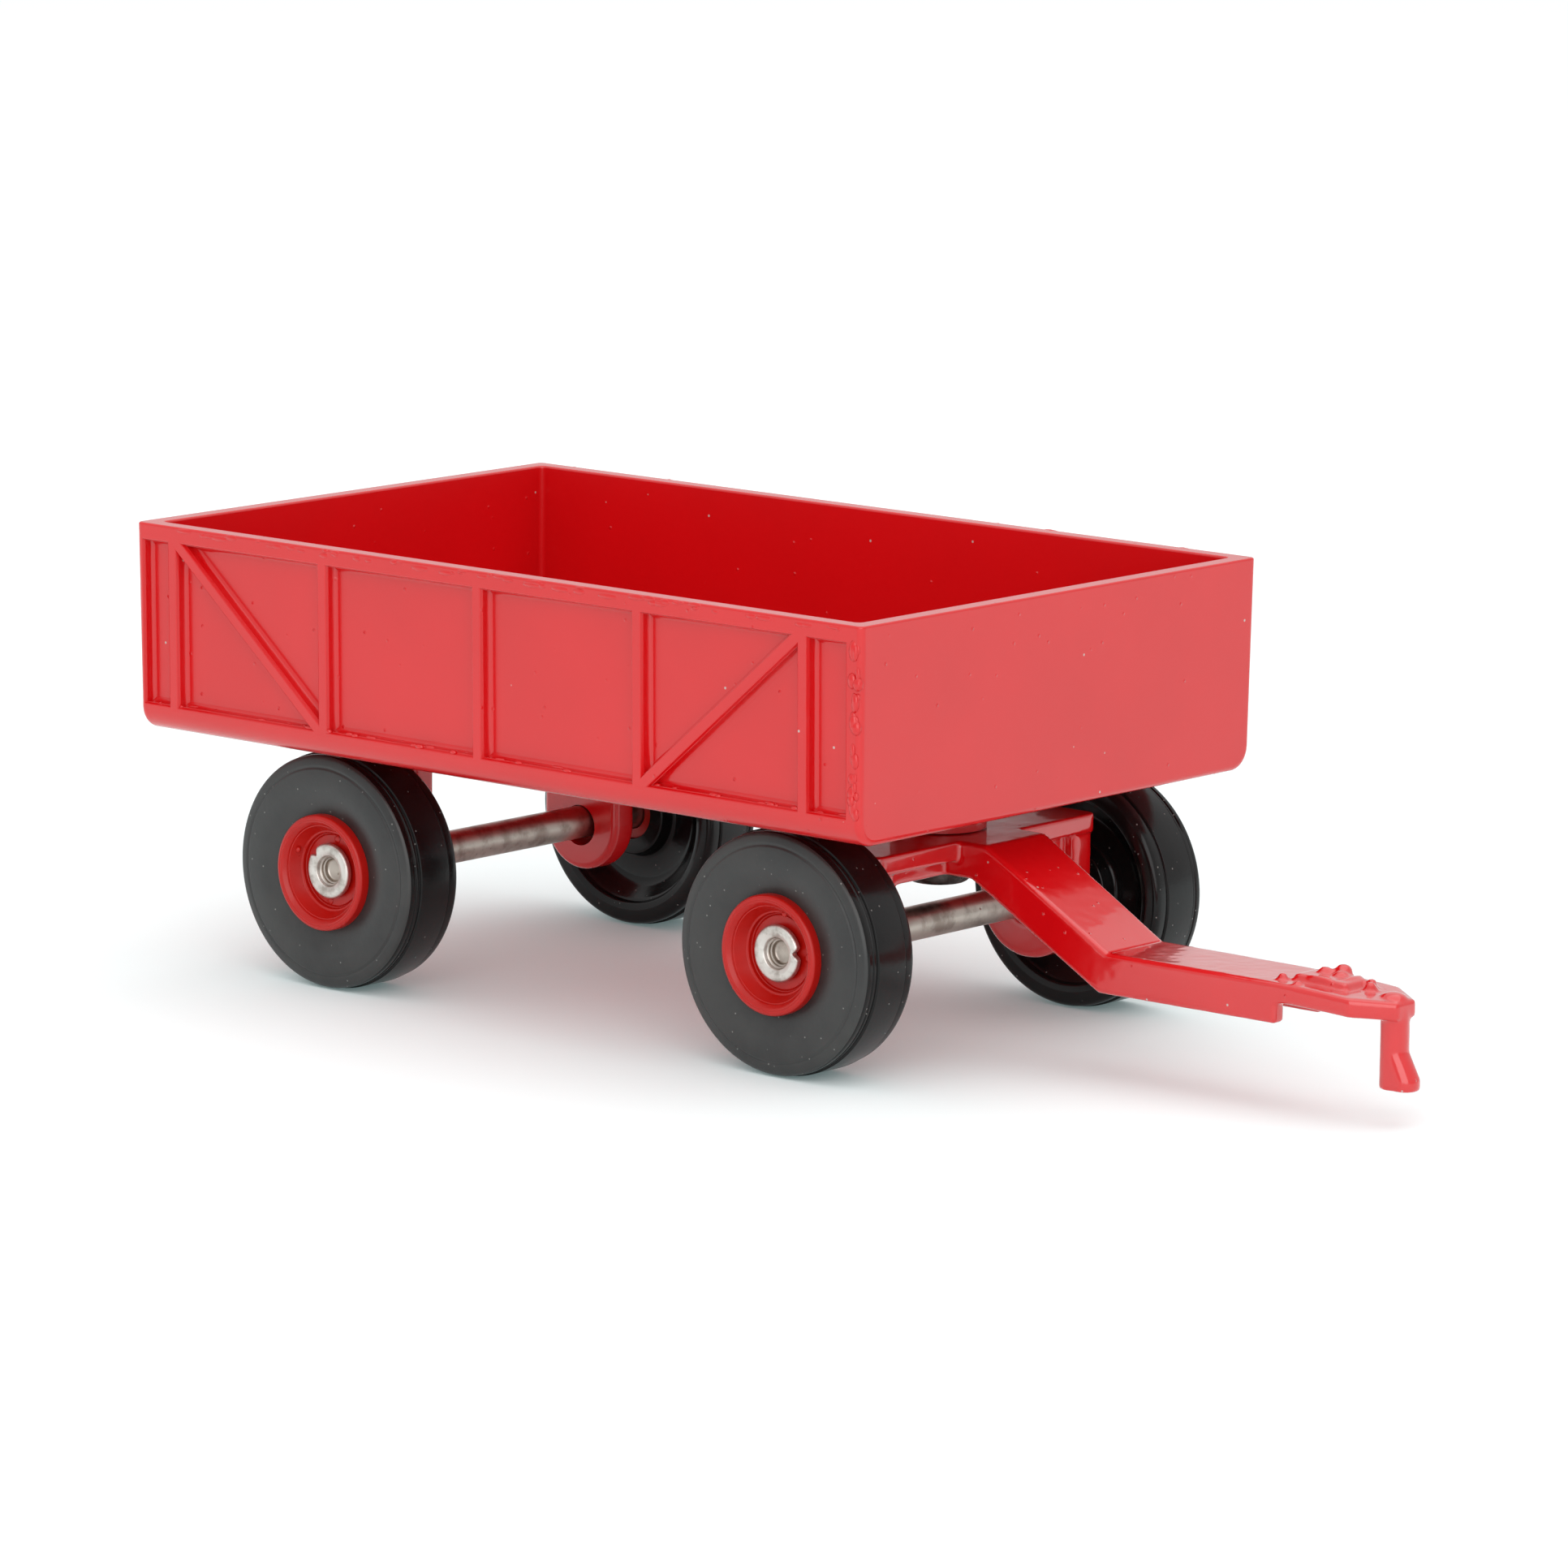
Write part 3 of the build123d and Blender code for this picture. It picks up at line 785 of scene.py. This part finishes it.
def makeDrawbar():
    d = drawbarShape
    low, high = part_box("drawbar")
    bm = bmesh.new()
    bm.from_mesh(nodes["drawbar"].data)
    bmesh.ops.remove_doubles(bm, verts=bm.verts[:], dist=0.001 * mm)
    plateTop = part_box("front_axle")[0][2] + d["plateAboveAxle"] * mm
    tip = high[0]
    for x, y, z, *radii in d["hitchLumps"]:
        addBlob(bm, Vector((tip + x * mm, y * mm, plateTop + (z + d["hitchLumpLift"]) * mm)), radii)
    mesh = bpy.data.meshes.new("drawbarRough")
    bm.to_mesh(mesh)
    bm.free()
    rough = bpy.data.objects.new("drawbarRough", mesh)
    bpy.context.scene.collection.objects.link(rough)
    remesh = rough.modifiers.new("cast", "REMESH")
    remesh.mode = "VOXEL"
    remesh.voxel_size = d["voxel"] * mm
    shaped = rough.evaluated_get(bpy.context.evaluated_depsgraph_get())
    bm = bmesh.new()
    bm.from_mesh(shaped.to_mesh())
    bpy.data.objects.remove(rough)
    bpy.data.meshes.remove(mesh)
    allAxes = {"use_axis_x": True, "use_axis_y": True, "use_axis_z": True}
    for _ in range(d["smoothPasses"]):
        bmesh.ops.smooth_vert(bm, verts=bm.verts[:], factor=0.5, **allAxes)
    bm.normal_update()
    for vert in bm.verts:  # the tip droops, and the whole skin is slightly wavy
        forward = max(0, 1 - (tip - vert.co.x) / (d["droopStart"] * mm))
        upper = min(1, max(0, (vert.co.z - low[2]) / (plateTop - low[2])))
        vert.co.z -= d["droop"] * mm * forward ** d["droopCurve"] * upper
        wave = noise.noise(vert.co / (d["waveSize"] * mm)) * d["waveHeight"]
        lump = noise.noise(vert.co / (d["lumpSize"] * mm)) * d["lumpHeight"]
        vert.co += vert.normal * (wave + lump) * mm
    makePiece("drawbar_casting", bm, [drawbarPaint], "drawbar", ["drawbar"], 0)


makeDrawbar()
print("drawbar made")


# Kingpin, as (radius, height) in mm from the head's crown

kingpinShape = {
    "steps": 72,
    "sharp": 40,
    "shankRadius": 1.2,
    "headDepth": 1.2,
    "rollRadius": 1.9,
    "rollDepth": 0.55,
    "holeRadius": 0.6,
    "holeDepth": 0.9,
}


def makeKingpin():
    low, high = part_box("kingpin")
    k = kingpinShape
    shank = k["shankRadius"]
    head = (high[0] - low[0]) / 2 / mm
    top = (high[2] - low[2]) / mm
    centre = Vector(((low[0] + high[0]) / 2, (low[1] + high[1]) / 2, low[2]))
    corners = [
        (0, 0.12, 0),  # domed head with a shallow dimple
        (0.5, 0.1, 0.1),
        (0.9, 0.02, 0.3),
        (head - 0.1, 0.12, 0.7),
        (head, k["headDepth"], 0.15),
        (shank, k["headDepth"], 0),
        (shank, top - k["rollDepth"], 0),
        (k["rollRadius"], top - k["rollDepth"], 0.1),  # rolled end
        (k["rollRadius"], top, 0.22),
        (k["holeRadius"], top, 0.2),
        (k["holeRadius"] - 0.15, top - k["holeDepth"], 0.1),
        (0, top - k["holeDepth"], 0),
    ]
    bm = turnedMesh(corners, centre, (0, 0, 1), k["steps"])
    # the rivet's dark grey steel is painted shade
    makePiece("kingpin_rivet", bm, [paintedShadeRivetSteel], "wagon", ["kingpin"], k["sharp"])


makeKingpin()
print("kingpin made")


# Box: the CAD casting with dipped enamel, and the beads in mm that the paint left on its edges

boxFlaws = {
    "seed": 7,
    "wallDraft": 0.7,
    "boxDepth": 14.35,
    "ledgeHeight": 1.9,
    "panelRecess": 0.8,
    "endPost": 1.6,
    "rimBeads": {
        "count": 120,
        "size": (0.08, 0.24),
        "drop": (0.05, 0.35),
        "stretch": (1.5, 5),
        "sunk": 0.06,
        "depth": 0.13,
    },
    "ledgeBeads": {
        "count": 110,
        "size": (0.1, 0.24),
        "start": 0.15,
        "stretch": (1, 3.5),
        "sunk": 0.02,
        "flatness": 0.8,
    },
    "cornerBumps": {
        "count": 30,
        "size": (0.24, 0.5),
        "top": 1.2,
        "bottom": 1.6,
        "setBack": (0.25, 0.75),
        "sunk": (0, 0.08),
        "stretch": (0.7, 1.8),
        "width": 0.8,
        "depth": 0.5,
        "turn": 0.6,
    },
}


def makeBoxFlaws():
    f = boxFlaws
    low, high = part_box("wagon_box")
    draft = tan(radians(f["wallDraft"]))
    rear = low[0] + f["endPost"] * mm
    front = high[0] - f["endPost"] * mm
    random.seed(f["seed"])
    bm = bmesh.new()
    beads = f["rimBeads"]
    for _ in range(beads["count"]):  # sagged paint just under the rim's outer edge
        side = random.choice((-1, 1))
        size = random.uniform(*beads["size"])
        drop = random.uniform(*beads["drop"])
        x = random.uniform(rear, front)
        y = side * (high[1] - (drop * draft + beads["sunk"]) * mm)
        z = high[2] - (drop + size * 0.5) * mm
        addBlob(bm, Vector((x, y, z)), (size * random.uniform(*beads["stretch"]), beads["depth"], size))
    beads = f["ledgeBeads"]
    ledge = f["boxDepth"] - f["ledgeHeight"]
    for _ in range(beads["count"]):  # paint that pooled on the ledge of the bottom rail
        side = random.choice((-1, 1))
        size = random.uniform(*beads["size"])
        x = random.uniform(rear, front)
        y = side * (high[1] - (ledge * draft + random.uniform(beads["start"], f["panelRecess"])) * mm)
        z = high[2] - (ledge - beads["sunk"]) * mm
        radii = (size * random.uniform(*beads["stretch"]), size, size * beads["flatness"])
        addBlob(bm, Vector((x, y, z)), radii)
    bumps = f["cornerBumps"]
    for _ in range(bumps["count"]):  # rough flash down the front right corner
        drop = random.uniform(bumps["top"], f["boxDepth"] - bumps["bottom"])
        size = random.uniform(*bumps["size"])
        x = high[0] - (drop * draft + random.uniform(*bumps["setBack"])) * mm
        y = low[1] + (drop * draft + random.uniform(*bumps["sunk"])) * mm
        radii = (size * bumps["width"], size * bumps["depth"], size * random.uniform(*bumps["stretch"]))
        turn = random.uniform(-bumps["turn"], bumps["turn"])
        addBlob(bm, Vector((x, y, high[2] - drop * mm)), radii, turn)
    makePiece("box_paint_beads", bm, [boxPaint], "wagon", (), 0)


nodes["wagon_box"].data.materials[0] = boxPaint
makeBoxFlaws()
print("box finished")


# Camera, with angles in degrees and lengths in mm

camera = {
    "azimuth": 40.787,
    "elevation": 10.326,
    "roll": 0.526,
    "distance": 526.6,
    "lens": 181.16,
    "sensor": 36,
    "aimAlong": -4.389,
    "aimForward": -0.225,
    "aimHeight": 16.146,
    "clip": (10, 10000),
}


def makeCamera():
    azimuth, elevation, roll = (radians(camera[key]) for key in ("azimuth", "elevation", "roll"))
    back = Vector((cos(elevation) * sin(azimuth), -cos(elevation) * cos(azimuth), sin(elevation)))
    level = Vector((cos(azimuth), sin(azimuth), 0))
    right = level * cos(roll) + back.cross(level) * sin(roll)
    up = back.cross(right)
    aim = (level * camera["aimAlong"] + Vector((camera["aimForward"], 0, camera["aimHeight"]))) * mm
    data = bpy.data.cameras.new("camera")
    data.lens = camera["lens"]
    data.sensor_width = camera["sensor"]
    data.clip_start, data.clip_end = (reach * mm for reach in camera["clip"])
    shown = bpy.data.objects.new("camera", data)
    turn = Matrix((right, up, back)).transposed().to_4x4()
    shown.matrix_world = Matrix.Translation(aim + back * camera["distance"] * mm) @ turn
    bpy.context.scene.collection.objects.link(shown)
    bpy.context.scene.camera = shown


# Studio, with places and sizes in metres and power in watts

studio = {
    "horizonGlow": 0.9,
    "zenithGlow": 1.3,
    "floorSize": 6,
    # the card's faint cyan tint and its faint cyan glow are painted light: they lift the floor shadows and
    # cancel the red bounce in them
    "floorColour": "#EDF1F1",
    "floorPaintedFillGlow": (0.085, 0.125, 0.125, 1),
    "floorRoughness": 0.95,
    "floorSpecular": 0.2,
    "toothSize": 0.6,
    "toothHeight": 0.02,
    "toothStrength": 0.3,
    "aim": (0, 0, 0.015),
    # place, size, power
    "softboxes": {
        "overhead": ((0.05, 0.1, 1.1), 1.2, 3.5),
        "front": ((0.6, -0.75, 0.4), 0.9, 4.5),
    },
}


def makeStudio():
    scene = bpy.context.scene
    scene.view_settings.view_transform = "Standard"
    world = bpy.data.worlds.new("studio")
    scene.world = world
    world.use_nodes = True
    world.node_tree.nodes.clear()
    # A white tent, brighter overhead than round the sides
    up = addNode(world.node_tree, "ShaderNodeTexCoord").outputs["Generated"]
    height = addNode(world.node_tree, "ShaderNodeSeparateXYZ", links={"Vector": up}).outputs["Z"]
    glow = addNode(
        world.node_tree, "ShaderNodeMapRange", {},
        {"To Min": studio["horizonGlow"], "To Max": studio["zenithGlow"]}, {"Value": height},
    )
    sky = addNode(world.node_tree, "ShaderNodeBackground", links={"Strength": glow.outputs["Result"]})
    addNode(world.node_tree, "ShaderNodeOutputWorld", links={"Surface": sky.outputs[0]})
    bm = bmesh.new()
    bmesh.ops.create_grid(bm, x_segments=1, y_segments=1, size=studio["floorSize"] / 2)
    mesh = bpy.data.meshes.new("floor")
    bm.to_mesh(mesh)
    bm.free()
    floor = bpy.data.objects.new("floor", mesh)
    scene.collection.objects.link(floor)
    # Matt sweep of white card: it takes soft shadows and shows no gloss. Its faint cyan glow over a faintly
    # cyan tint is painted light that lifts its shadows and cancels the red bounce in them
    material, tree = emptyMaterial("mattWhiteCard")
    place = addNode(tree, "ShaderNodeTexCoord").outputs["Object"]
    tooth = addNode(
        tree, "ShaderNodeTexNoise",
        values={"Scale": perMillimetre(studio["toothSize"]), "Detail": 2.0}, links={"Vector": place},
    )
    bump = addNode(
        tree, "ShaderNodeBump", {},
        {"Strength": studio["toothStrength"], "Distance": studio["toothHeight"] * mm},
        {"Height": tooth.outputs[0]},
    )
    shader = addNode(
        tree, "ShaderNodeBsdfPrincipled", {},
        {
            "Base Color": hexColour(studio["floorColour"]), "Roughness": studio["floorRoughness"],
            "Specular IOR Level": studio["floorSpecular"],
            # this emission is painted light that lifts the floor shadows
            "Emission Color": studio["floorPaintedFillGlow"], "Emission Strength": 1.0,
        },
        {"Normal": bump.outputs[0]},
    )
    addNode(tree, "ShaderNodeOutputMaterial", links={"Surface": shader.outputs[0]})
    mesh.materials.append(material)
    for name, (place, size, power) in studio["softboxes"].items():
        light = bpy.data.lights.new("softbox_" + name, "AREA")
        light.shape = "SQUARE"
        light.size = size
        light.energy = power
        lamp = bpy.data.objects.new("softbox_" + name, light)
        lamp.location = place
        lamp.rotation_euler = (Vector(studio["aim"]) - Vector(place)).to_track_quat("-Z", "Y").to_euler()
        scene.collection.objects.link(lamp)


makeCamera()
makeStudio()
print("camera and studio made")
